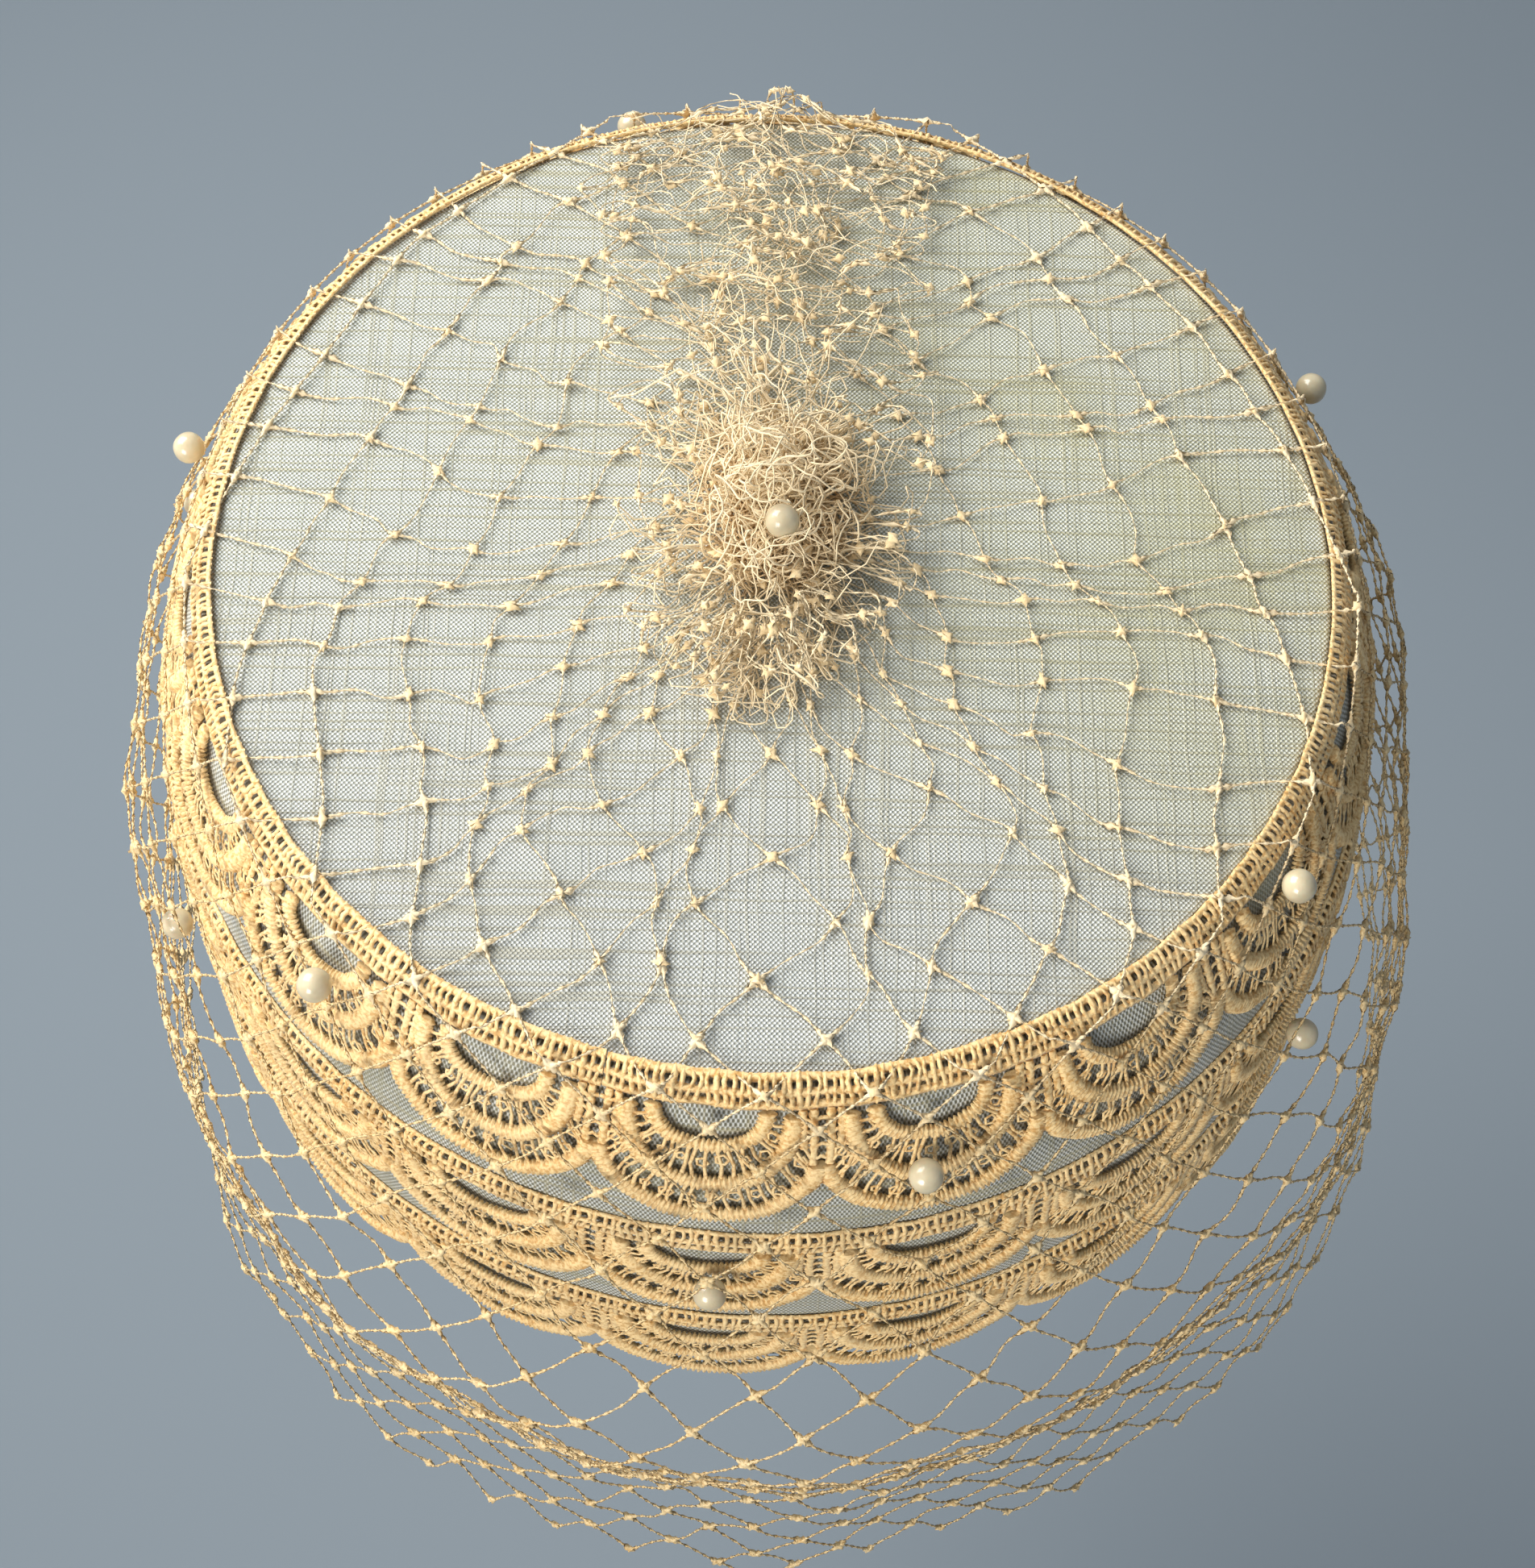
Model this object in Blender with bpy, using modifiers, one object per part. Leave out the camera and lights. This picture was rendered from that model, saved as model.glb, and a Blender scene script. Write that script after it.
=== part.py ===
"""A cloth-covered pillbox hat with three tiers of scalloped lace, sewn pearls and a draped net veil.

Metres, +Z up. The origin is the middle of the head opening, in the plane of the band's lower edge,
and -Y is the front of the hat.
"""
from math import cos, exp, pi, radians, sin, sqrt

import bmesh
import bpy
from mathutils import Matrix, Vector

# Crown and side band
CROWN_RADIUS = 0.081
CROWN_THICK = 0.002
CROWN_DOME = 0.001
CROWN_EDGE = 0.0012
BAND_HEIGHT = 0.085
BAND_WALL = 0.002
BAND_FLARE = 0.014
FLARE_DEPTH = 0.021
SEAM_GAP = 0.0003

# Lace tiers
LACE_THICK = 0.0016
LACE_STANDOFF = 0.0009
LACE_DROP = 0.0255
TIER_PITCH = 0.0325
FIRST_HEADER_DEPTH = 0.001
SCALLOPS = 18
FRONT_SCALLOP_ANGLE = radians(-4.8)

# Pearls
PEARL_RADIUS = 0.0024
PEARL_GAP = 0.0003
CENTRE_PEARL_ASIDE = 0.001

# Veil
VEIL_THICK = 0.0012
VEIL_LIFT = 0.0013
VEIL_HOLE_RADIUS = 0.013
VEIL_RIM_REACH = 0.0046
VEIL_REACH = 0.040
VEIL_DROP = 0.148
VEIL_STRIP_HALF = 0.0056

# Bunch of net at the crown's middle
GATHER_RADIUS = 0.0122
GATHER_HEIGHT = 0.0135
LOCK_RADIUS = 0.0044
LOCK_LENGTH = 0.0165
LOCKS_LOW = 8
LOCKS_HIGH = 4
LOW_LOCK_ANGLE = radians(22.0)
HIGH_LOCK_ANGLE = radians(58.0)
BACK_LOCK_SHARE = 0.35
LOCK_ROOT_SHARE = 0.4
LOCK_TWIST_ANGLE = radians(17.0)
HIGH_LOCK_TURN_ANGLE = radians(6.0)

ROUND_STEPS = 3 * SCALLOPS
BAND_ROWS = 4

# One scallop of lace across its width. Columns: place across the scallop, depth of the header's
# lower edge, of the window's lower edge and of the scalloped edge, as shares of the lace's drop.
SCALLOP_SHARES = (
    (0.00, 0.12, 0.30, 0.54),
    (0.17, 0.12, 0.24, 0.83),
    (0.33, 0.12, 0.20, 0.96),
    (0.50, 0.12, 0.29, 1.00),
    (0.67, 0.12, 0.20, 0.96),
    (0.83, 0.12, 0.24, 0.83),
)
WINDOW_COLUMNS = (2, 3)
WINDOW_ROW = 1

# The veil's skirt from the crown's edge to its hem. Columns: drop as a share of VEIL_DROP, then how
# far it stands out past the laced and pearled band at the front, right, back and left, as shares
# of VEIL_REACH.
SKIRT_SHARES = (
    (0.000, 0.000, 0.000, 0.000, 0.000),
    (0.142, 0.000, 0.000, 0.000, 0.000),
    (0.284, 0.160, 0.040, 0.040, 0.040),
    (0.426, 0.440, 0.120, 0.055, 0.045),
    (0.568, 0.340, 0.215, 0.080, 0.065),
    (0.710, 0.250, 0.310, 0.130, 0.100),
    (0.851, 0.285, 0.390, 0.180, 0.140),
    (1.000, 0.390, 0.450, 0.230, 0.190),
)
PEARLED_SHARE = 0.150
SKIRT_RING_SHARES = (0.0, 0.284, 0.568, 0.851, 1.0)

# Where the pearls are sewn: scallops counted round from the front one, and the share of the lace's
# drop below its header.
TOP_PEARLS = ((-8.0, 0.40), (-5.0, 0.40), (-1.88, 0.20), (0.92, 0.42), (3.0, 0.06), (6.0, 0.40))
MIDDLE_PEARLS = ((-5.15, 0.10), (-3.0, 0.35), (0.04, 0.30), (3.0, 0.35), (6.0, 0.35), (9.0, 0.35))

SILK = (0.66, 0.68, 0.60)
SILK_SIDE = (0.50, 0.51, 0.43)
LACE = (0.72, 0.54, 0.30)
NET = (0.76, 0.60, 0.36)
PEARL = (0.86, 0.80, 0.66)


def clear_scene():
    """Remove the scene's objects."""
    for thing in list(bpy.data.objects):
        bpy.data.objects.remove(thing, do_unlink=True)


def new_collection(name):
    """A collection linked to the scene."""
    group = bpy.data.collections.new(name)
    bpy.context.scene.collection.children.link(group)
    return group


def new_material(name, colour, roughness):
    """A plain Principled material."""
    material = bpy.data.materials.new(name)
    material.use_nodes = True
    shader = material.node_tree.nodes["Principled BSDF"]
    shader.inputs["Base Color"].default_value = (*colour, 1.0)
    shader.inputs["Roughness"].default_value = roughness
    shader.inputs["Metallic"].default_value = 0.0
    return material


def add_object(name, shape, material, group):
    """An object in a collection, made from a bmesh."""
    mesh = bpy.data.meshes.new(name)
    shape.to_mesh(mesh)
    shape.free()
    piece = bpy.data.objects.new(name, mesh)
    group.objects.link(piece)
    if material is not None:
        mesh.materials.append(material)
    return piece


def side_radius(depth):
    """The band's outer radius at a depth below the crown's edge."""
    return CROWN_RADIUS + BAND_FLARE * (1.0 - exp(-depth / FLARE_DEPTH))


def crown_rise(radius):
    """How far the crown stands above its own edge."""
    return CROWN_DOME * max(0.0, 1.0 - (radius / CROWN_RADIUS) ** 2)


def at(azimuth, radius, height):
    """A point by its turn from the front, towards +X, its radius and its height."""
    return Vector((radius * sin(azimuth), -radius * cos(azimuth), height))


def turned(name, profile, material, group):
    """A profile of (radius, height) points, top to bottom, turned round the hat's axis."""
    shape = bmesh.new()
    points = [shape.verts.new((radius, 0.0, height)) for radius, height in profile]
    for first, second in zip(points, points[1:]):
        shape.edges.new((first, second))
    piece = add_object(name, shape, material, group)
    screw = piece.modifiers.new("turn", "SCREW")
    screw.axis = "Z"
    screw.angle = 2.0 * pi
    screw.steps = ROUND_STEPS
    screw.render_steps = ROUND_STEPS
    screw.use_merge_vertices = True
    screw.merge_threshold = 0.00001
    screw.use_smooth_shade = True
    return piece


def make_crown(material, group):
    """The flat top: a covered disc with a rounded edge that lies on the band."""
    under = BAND_HEIGHT - CROWN_THICK
    half = CROWN_RADIUS / 2.0
    profile = (
        (0.0, BAND_HEIGHT + crown_rise(0.0)),
        (half, BAND_HEIGHT + crown_rise(half)),
        (CROWN_RADIUS - CROWN_EDGE, BAND_HEIGHT + crown_rise(CROWN_RADIUS - CROWN_EDGE)),
        (CROWN_RADIUS, BAND_HEIGHT - CROWN_EDGE),
        (CROWN_RADIUS, under),
        (0.0, under),
    )
    turned("crown_tip", profile, material, group)


def make_band(material, group):
    """The flared side wall, closed over by the crown."""
    top_depth = CROWN_THICK + SEAM_GAP
    shares = [(row / BAND_ROWS) ** 1.5 for row in range(BAND_ROWS + 1)]
    depths = [top_depth + (BAND_HEIGHT - top_depth) * share for share in shares]
    profile = [(side_radius(depth), BAND_HEIGHT - depth) for depth in depths]
    band = turned("side_band", profile, material, group)
    wall = band.modifiers.new("wall", "SOLIDIFY")
    wall.thickness = BAND_WALL
    wall.offset = -1.0


def make_lace(name, header_depth, material, group):
    """One tier: a straight header over round scallops, each pierced by a window."""
    columns = len(SCALLOP_SHARES)
    across = SCALLOPS * columns
    rows = len(SCALLOP_SHARES[0]) - 1
    shape = bmesh.new()
    bmesh.ops.create_grid(shape, x_segments=across, y_segments=rows, size=1.0)
    windows = []
    for face in shape.faces:
        middle = face.calc_center_median()
        column = int((middle.x + 1.0) / 2.0 * across) % columns
        row = int((1.0 - middle.y) / 2.0 * rows)
        if row == WINDOW_ROW and column in WINDOW_COLUMNS:
            windows.append(face)
    bmesh.ops.delete(shape, geom=windows, context="FACES")
    for corner in shape.verts:
        count = round((corner.co.x + 1.0) / 2.0 * across)
        row = round((1.0 - corner.co.y) / 2.0 * rows)
        scallop, column = divmod(count, columns)
        section = SCALLOP_SHARES[column]
        turn = FRONT_SCALLOP_ANGLE + (scallop + section[0] - 0.5) * 2.0 * pi / SCALLOPS
        drop = LACE_DROP * (section[row] if row else 0.0)
        depth = header_depth + drop
        corner.co = at(turn, side_radius(depth) + LACE_STANDOFF, BAND_HEIGHT - depth)
    bmesh.ops.remove_doubles(shape, verts=shape.verts, dist=0.00001)
    bmesh.ops.recalc_face_normals(shape, faces=shape.faces)
    face_out(shape)
    lace = add_object(name, shape, material, group)
    wall = lace.modifiers.new("wall", "SOLIDIFY")
    wall.thickness = LACE_THICK
    wall.offset = 1.0


def face_out(shape):
    """Turn an open sheet round the axis so that its faces look away from the middle."""
    face = max(shape.faces, key=lambda each: each.calc_center_median().xy.length)
    if face.normal.dot(face.calc_center_median()) < 0.0:
        bmesh.ops.reverse_faces(shape, faces=shape.faces)


def skirt_reach(share, azimuth):
    """How far the veil stands out past the dressed band, at a share of its drop and a turn from the front."""
    last = len(SKIRT_SHARES) - 1
    row = min(last - 1, max(0, sum(1 for section in SKIRT_SHARES if section[0] <= share) - 1))
    above, below = SKIRT_SHARES[row], SKIRT_SHARES[row + 1]
    part = (share - above[0]) / (below[0] - above[0])
    front, right, back, left = (a + (b - a) * part for a, b in zip(above[1:], below[1:]))
    along = front if cos(azimuth) > 0.0 else back
    beside = right if sin(azimuth) > 0.0 else left
    return VEIL_REACH * (along * cos(azimuth) ** 2 + beside * sin(azimuth) ** 2)


def skirt_radius(share, azimuth):
    """The skirt's radius: over the crown's edge, then clear of the lace and the pearls on the band."""
    depth = max(0.0, share * VEIL_DROP - VEIL_LIFT)
    dressing = LACE_STANDOFF + LACE_THICK + PEARL_GAP + 2.0 * PEARL_RADIUS
    swell = min(1.0, share / PEARLED_SHARE)
    clear = VEIL_RIM_REACH + (dressing - VEIL_RIM_REACH) * swell
    return side_radius(depth) + clear + skirt_reach(share, azimuth)


def veil_point(azimuth, run):
    """A point of the veil, at a run outwards over the crown and then down the skirt."""
    rim = CROWN_RADIUS + VEIL_RIM_REACH
    over_crown = rim - VEIL_HOLE_RADIUS
    if run < over_crown:
        radius = VEIL_HOLE_RADIUS + run
        return at(azimuth, radius, BAND_HEIGHT + crown_rise(radius) + VEIL_LIFT)
    share = (run - over_crown) / VEIL_DROP
    return at(azimuth, skirt_radius(share, azimuth), BAND_HEIGHT + VEIL_LIFT - share * VEIL_DROP)


def make_veil(material, group):
    """The net as a coarse lattice of diamonds, laid out flat and then draped."""
    flat_radius = skirt_radius(SKIRT_RING_SHARES[2], pi / 4.0)
    half = pi / SCALLOPS * flat_radius
    over_crown = CROWN_RADIUS + VEIL_RIM_REACH - VEIL_HOLE_RADIUS
    runs = [over_crown + ring * VEIL_DROP for ring in SKIRT_RING_SHARES]
    shape = bmesh.new()

    def cell(corners):
        shape.faces.new([shape.verts.new((x, y, 0.0)) for x, y in corners])

    def between(first, second):
        return ((first[0] + second[0]) / 2.0, (first[1] + second[1]) / 2.0)

    for count in range(SCALLOPS):
        middle = 2.0 * half * count
        inner = over_crown / 2.0
        foot = (middle, runs[1])
        left, right = (middle - half, runs[0]), (middle + half, runs[0])
        cell(((middle + half, 0.0), (middle - half, 0.0), (middle - half, inner), left,
              between(left, foot), foot, between(foot, right), right, (middle + half, inner)))
        for ring in range(1, len(runs) - 1):
            centre = middle + (half if ring % 2 else 0.0)
            top, low = (centre, runs[ring - 1]), (centre, runs[ring + 1])
            left, right = (centre - half, runs[ring]), (centre + half, runs[ring])
            cell((top, between(top, left), left, between(left, low), low,
                  between(low, right), right, between(right, top)))
    shape.normal_update()
    gaps = shape.faces[:]
    bmesh.ops.inset_individual(shape, faces=gaps, thickness=VEIL_STRIP_HALF, use_even_offset=True)
    bmesh.ops.delete(shape, geom=gaps, context="FACES")
    for corner in shape.verts:
        turn = FRONT_SCALLOP_ANGLE + corner.co.x / flat_radius
        corner.co = veil_point(turn, corner.co.y)
    bmesh.ops.remove_doubles(shape, verts=shape.verts, dist=0.0001)
    bmesh.ops.recalc_face_normals(shape, faces=shape.faces)
    face_out(shape)
    veil = add_object("veil", shape, material, group)
    wall = veil.modifiers.new("wall", "SOLIDIFY")
    wall.thickness = VEIL_THICK
    wall.offset = 0.0


def ball(radius, segments, rings):
    """A round ball about the origin."""
    shape = bmesh.new()
    bmesh.ops.create_uvsphere(shape, u_segments=segments, v_segments=rings, radius=radius)
    return shape


def centre_pearl_place():
    """Where the pearl in the bunch sits, half sunk in its top."""
    return Vector((CENTRE_PEARL_ASIDE, -0.3 * GATHER_RADIUS, BAND_HEIGHT + CROWN_DOME + 0.95 * GATHER_HEIGHT))


def lock_places():
    """Turn, rise and length of each lock of net in the bunch; the ones at the back are longer."""
    places = []
    rows = ((LOCKS_LOW, LOW_LOCK_ANGLE, 0.0, 1.0), (LOCKS_HIGH, HIGH_LOCK_ANGLE, HIGH_LOCK_TURN_ANGLE, 0.75))
    for count, rise, start, share in rows:
        for number in range(count):
            turn = start + 2.0 * pi * (number + 0.5) / count
            places.append((turn, rise, share * LOCK_LENGTH * (1.0 - BACK_LOCK_SHARE * cos(turn))))
    return places


def make_gather(material, group, cutters, lock_group):
    """The bunched net: a low round core with locks of net standing out of it."""
    base = Vector((0.0, 0.0, BAND_HEIGHT + CROWN_DOME + SEAM_GAP + GATHER_HEIGHT / 2.0))
    core = ball(1.0, 12, 6)
    bmesh.ops.scale(core, vec=(GATHER_RADIUS, GATHER_RADIUS, GATHER_HEIGHT / 2.0), verts=core.verts)
    bmesh.ops.translate(core, vec=base, verts=core.verts)
    bunch = add_object("veil_gather", core, material, group)
    for number, (turn, rise, length) in enumerate(lock_places()):
        lock = ball(1.0, 6, 4)
        twist = Matrix.Rotation((number + 1) * LOCK_TWIST_ANGLE, 3, "Z")
        bmesh.ops.rotate(lock, matrix=twist, verts=lock.verts)
        bmesh.ops.scale(lock, vec=(LOCK_RADIUS, LOCK_RADIUS, length / 2.0), verts=lock.verts)
        way = at(turn, cos(rise), sin(rise))
        bmesh.ops.rotate(lock, matrix=way.to_track_quat("Z", "Y").to_matrix(), verts=lock.verts)
        start = base + LOCK_ROOT_SHARE * GATHER_RADIUS * at(turn, cos(rise), 0.0)
        bmesh.ops.translate(lock, vec=start + way * length / 2.0, verts=lock.verts)
        as_cutter(add_object(f"lock_{number + 1}", lock, None, lock_group))
    union = bunch.modifiers.new("locks", "BOOLEAN")
    union.operation = "UNION"
    union.operand_type = "COLLECTION"
    union.collection = lock_group
    pocket = ball(PEARL_RADIUS + PEARL_GAP, 10, 6)
    bmesh.ops.translate(pocket, vec=centre_pearl_place(), verts=pocket.verts)
    cut = bunch.modifiers.new("pearl_pocket", "BOOLEAN")
    cut.operation = "DIFFERENCE"
    cut.object = as_cutter(add_object("pearl_pocket", pocket, None, cutters))


def as_cutter(piece):
    """Mark an object as a tool that is no part of the hat."""
    piece.hide_render = True
    piece.display_type = "WIRE"
    return piece


def make_pearl(name, place, material, group):
    """One round bead."""
    pearl = ball(PEARL_RADIUS, 10, 5)
    bmesh.ops.translate(pearl, vec=place, verts=pearl.verts)
    for face in pearl.faces:
        face.smooth = True
    add_object(name, pearl, material, group)


def make_sewn_pearls(tier, places, header_depth, material, group):
    """The pearls of one tier, each resting on a scallop."""
    for number, (scallop, drop_share) in enumerate(places):
        depth = header_depth + drop_share * LACE_DROP
        slope = BAND_FLARE / FLARE_DEPTH * exp(-depth / FLARE_DEPTH)
        away = (LACE_STANDOFF + LACE_THICK + PEARL_GAP + PEARL_RADIUS) * sqrt(1.0 + slope ** 2)
        turn = FRONT_SCALLOP_ANGLE + scallop * 2.0 * pi / SCALLOPS
        place = at(turn, side_radius(depth) + away, BAND_HEIGHT - depth)
        make_pearl(f"pearl_{tier}_{number + 1}", place, material, group)


def build():
    """Make the whole hat."""
    clear_scene()
    hat = new_collection("pillbox_hat")
    cutters = new_collection("cutters")
    lock_group = new_collection("locks")
    lace = new_material("lace", LACE, 0.75)
    net = new_material("net", NET, 0.7)
    pearl = new_material("pearl", PEARL, 0.22)
    make_crown(new_material("crown_silk", SILK, 0.5), hat)
    make_band(new_material("band_silk", SILK_SIDE, 0.5), hat)
    for count, tier in enumerate(("top", "middle", "bottom")):
        header_depth = FIRST_HEADER_DEPTH + count * TIER_PITCH
        make_lace(f"lace_{tier}", header_depth, lace, hat)
        pearls = {"top": TOP_PEARLS, "middle": MIDDLE_PEARLS}.get(tier, ())
        make_sewn_pearls(tier, pearls, header_depth, pearl, hat)
    make_veil(net, hat)
    make_gather(net, hat, cutters, lock_group)
    make_pearl("pearl_centre", centre_pearl_place(), pearl, hat)


build()
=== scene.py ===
"""The looks of a silk-covered pillbox hat with scalloped lace, sewn pearls and a knotted net veil."""
from math import asin, atan2, cos, exp, hypot, pi, radians, sin, sqrt, tau
from random import Random

import bmesh
import bpy
import numpy as np
from mathutils import Matrix, Vector, noise


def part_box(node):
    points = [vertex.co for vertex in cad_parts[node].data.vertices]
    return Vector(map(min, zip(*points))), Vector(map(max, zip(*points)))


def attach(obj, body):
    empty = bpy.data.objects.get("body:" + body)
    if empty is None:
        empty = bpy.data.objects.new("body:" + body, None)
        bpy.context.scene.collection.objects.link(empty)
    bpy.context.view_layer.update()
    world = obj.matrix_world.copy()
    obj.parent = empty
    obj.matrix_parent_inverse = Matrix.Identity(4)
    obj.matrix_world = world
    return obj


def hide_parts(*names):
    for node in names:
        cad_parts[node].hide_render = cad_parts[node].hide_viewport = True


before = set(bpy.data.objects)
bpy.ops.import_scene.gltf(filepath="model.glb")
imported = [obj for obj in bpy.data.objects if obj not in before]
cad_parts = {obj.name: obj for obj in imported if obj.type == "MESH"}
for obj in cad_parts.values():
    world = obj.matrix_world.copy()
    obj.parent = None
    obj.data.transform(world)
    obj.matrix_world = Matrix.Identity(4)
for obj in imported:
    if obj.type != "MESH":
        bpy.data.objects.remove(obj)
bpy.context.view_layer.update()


# The view and the light.
# The camera looks steeply down on the hat's front, from 0.4 m above the head opening.
# A large soft light stands behind the hat on its left, so that the right side lies in shade, and a weak
# one in front lifts the lace.
crown_low, crown_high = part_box("crown_tip")
_, band_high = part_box("side_band")
CROWN_RADIUS = crown_high.x
CROWN_TOP = crown_high.z

CAMERA_PLACE = Vector((-0.0035, -0.2018, 0.3158 + CROWN_TOP))
CAMERA_PITCH = radians(62.64)
CAMERA_YAW = radians(1.12)
CAMERA_ROLL = radians(2.2)
CAMERA_LENS = 59.3
FLOOR_LEVEL = -0.32
FLOOR_SIZE = 6.0
FLOOR_PAINT = (0.235, 0.275, 0.31, 1.0)
ROOM_COLOUR = (0.80, 0.89, 1.0, 1.0)
ROOM_STRENGTH = 0.36

# The lamps. Columns: name, place, the point it faces, size, watts, colour, spread in degrees.
LAMPS = (
    ("window", (-0.50, 0.32, 0.58), (0.0, 0.0, 0.04), 0.60, 7.6, (1.0, 0.985, 0.95), 150.0),
    ("front_fill", (-0.42, -0.75, 0.34), (0.0, 0.0, 0.05), 0.45, 1.0, (1.0, 0.97, 0.92), 60.0),
)


def place_camera():
    """The camera at the photograph's angle."""
    ahead = Vector((
        sin(CAMERA_YAW) * cos(CAMERA_PITCH),
        cos(CAMERA_YAW) * cos(CAMERA_PITCH),
        -sin(CAMERA_PITCH),
    ))
    level = ahead.cross(Vector((0.0, 0.0, 1.0))).normalized()
    upright = level.cross(ahead)
    side = cos(CAMERA_ROLL) * level + sin(CAMERA_ROLL) * upright
    up = -sin(CAMERA_ROLL) * level + cos(CAMERA_ROLL) * upright
    lens = bpy.data.cameras.new("camera")
    lens.lens = CAMERA_LENS
    lens.clip_start = 0.01
    camera = bpy.data.objects.new("camera", lens)
    turn = Matrix((side, up, -ahead)).transposed().to_4x4()
    camera.matrix_world = Matrix.Translation(CAMERA_PLACE) @ turn
    bpy.context.scene.collection.objects.link(camera)
    bpy.context.scene.camera = camera


def soft_light(name, place, target, size, watts, colour, spread):
    """A square lamp that faces a point of the hat."""
    lamp = bpy.data.lights.new(name, "AREA")
    lamp.size = size
    lamp.energy = watts
    lamp.color = colour
    lamp.spread = radians(spread)
    holder = bpy.data.objects.new(name, lamp)
    way = Vector(place) - Vector(target)
    turn = way.to_track_quat("Z", "Y").to_matrix().to_4x4()
    holder.matrix_world = Matrix.Translation(place) @ turn
    holder.visible_camera = False
    bpy.context.scene.collection.objects.link(holder)


def lay_floor():
    """A plain blue-grey floor well below the veil's hem."""
    shape = bmesh.new()
    bmesh.ops.create_grid(shape, x_segments=1, y_segments=1, size=FLOOR_SIZE / 2.0)
    bmesh.ops.translate(shape, vec=(0.0, 0.0, FLOOR_LEVEL), verts=shape.verts)
    mesh = bpy.data.meshes.new("floor")
    shape.to_mesh(mesh)
    shape.free()
    paint = bpy.data.materials.new("floor_paint")
    paint.use_nodes = True
    shader = paint.node_tree.nodes["Principled BSDF"]
    shader.inputs["Base Color"].default_value = FLOOR_PAINT
    shader.inputs["Roughness"].default_value = 0.9
    mesh.materials.append(paint)
    floor = bpy.data.objects.new("floor", mesh)
    bpy.context.scene.collection.objects.link(floor)


def light_room():
    """An even, slightly cool room light."""
    room = bpy.data.worlds.new("room")
    room.use_nodes = True
    ground = room.node_tree.nodes["Background"]
    ground.inputs["Color"].default_value = ROOM_COLOUR
    ground.inputs["Strength"].default_value = ROOM_STRENGTH
    bpy.context.scene.world = room
    bpy.context.scene.view_settings.view_transform = "Standard"


place_camera()
lay_floor()
light_room()
for lamp_row in LAMPS:
    soft_light(*lamp_row)


# The silk over the crown.
# A plain-woven slub silk in pale ivory, drawn tight over a stiff disc and turned over its edge.
# It has faint olive stains towards the back and the right, and a painted cool sheen at the front: a painted
# reflection in its colour.
CROWN_DOME = 0.001
EDGE_ROLL = 0.0012
THREAD_ACROSS = 0.00035
THREAD_ALONG = 0.00037
ROUND_STEPS = 216
SILK_LIT = (0.60, 0.62, 0.55)
# Painted light: the thread colour is a painted highlight on the threads' tops, and the gap colour is painted
# shade between them.
SILK_THREAD_HIGHLIGHT = (0.88, 0.92, 0.90)
SILK_GAP_SHADE = (0.22, 0.22, 0.13)
STAIN = (0.44, 0.41, 0.19)
SLUB = (0.40, 0.36, 0.20)
# Painted sheen: a cool grey-blue painted over the crown's front, standing in for a reflection.
FRONT_SHEEN_PAINT = (0.46, 0.46, 0.50)
THREAD_WOBBLE = 0.0016
ROLL_STEPS = 6
MERGE_REACH = 0.000005


class Wiring:
    """A material's nodes, added one after another."""

    def __init__(self, name, colour, roughness):
        self.material = bpy.data.materials.new(name)
        self.material.use_nodes = True
        self.tree = self.material.node_tree
        self.shader = self.tree.nodes["Principled BSDF"]
        self.shader.inputs["Base Color"].default_value = (*colour, 1.0)
        self.shader.inputs["Roughness"].default_value = roughness

    def add(self, kind, settings=(), **sockets):
        """A node, with its settings and with values or links for its sockets."""
        node = self.tree.nodes.new(kind)
        for key, value in dict(settings).items():
            setattr(node, key, value)
        for key, value in sockets.items():
            place = int(key[1:]) if key[0] == "i" and key[1:].isdigit() else key.replace("_", " ")
            self.feed(node.inputs[place], value)
        return node

    def feed(self, socket, value):
        """Link a socket, or set its value."""
        if isinstance(value, bpy.types.NodeSocket):
            self.tree.links.new(value, socket)
        else:
            socket.default_value = value

    def math(self, operation, first, second=0.0):
        """One sum."""
        node = self.add("ShaderNodeMath", {"operation": operation}, i0=first, i1=second)
        return node.outputs[0]

    def times(self, first, second):
        """A product."""
        return self.math("MULTIPLY", first, second)

    def total(self, first, second):
        """A sum of two."""
        return self.math("ADD", first, second)

    def blend(self, share, first, second):
        """A mix of two colours."""
        node = self.add("ShaderNodeMix", {"data_type": "RGBA", "clamp_factor": True})
        self.feed(node.inputs["Factor"], share)
        for socket, value in ((node.inputs[6], first), (node.inputs[7], second)):
            self.feed(socket, value if isinstance(value, bpy.types.NodeSocket) else (*value, 1.0))
        return node.outputs[2]

    def ramp(self, value, low, high):
        """A value brought from low..high to 0..1, smoothly."""
        node = self.add("ShaderNodeMapRange", {"interpolation_type": "SMOOTHSTEP"}, i0=value, i1=low, i2=high)
        return node.outputs[0]

    def speckle(self, across, along, depth, scales, detail=2.0):
        """A noise whose grain is stretched by a scale for each direction."""
        scaled = [self.times(part, scale) for part, scale in zip((across, along, depth), scales)]
        place = self.add("ShaderNodeCombineXYZ", i0=scaled[0], i1=scaled[1], i2=scaled[2])
        node = self.add("ShaderNodeTexNoise", Vector=place.outputs[0], Scale=1.0, Detail=detail)
        return node.outputs[0]

    def bump(self, height, distance, strength=1.0):
        """Bump on the shader."""
        node = self.add("ShaderNodeBump", Height=height, Distance=distance, Strength=strength)
        self.feed(self.shader.inputs["Normal"], node.outputs[0])

    def place(self):
        """The object's own x, y and z."""
        source = self.add("ShaderNodeTexCoord")
        parts = self.add("ShaderNodeSeparateXYZ", Vector=source.outputs["Object"])
        return parts.outputs[0], parts.outputs[1], parts.outputs[2]


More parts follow.
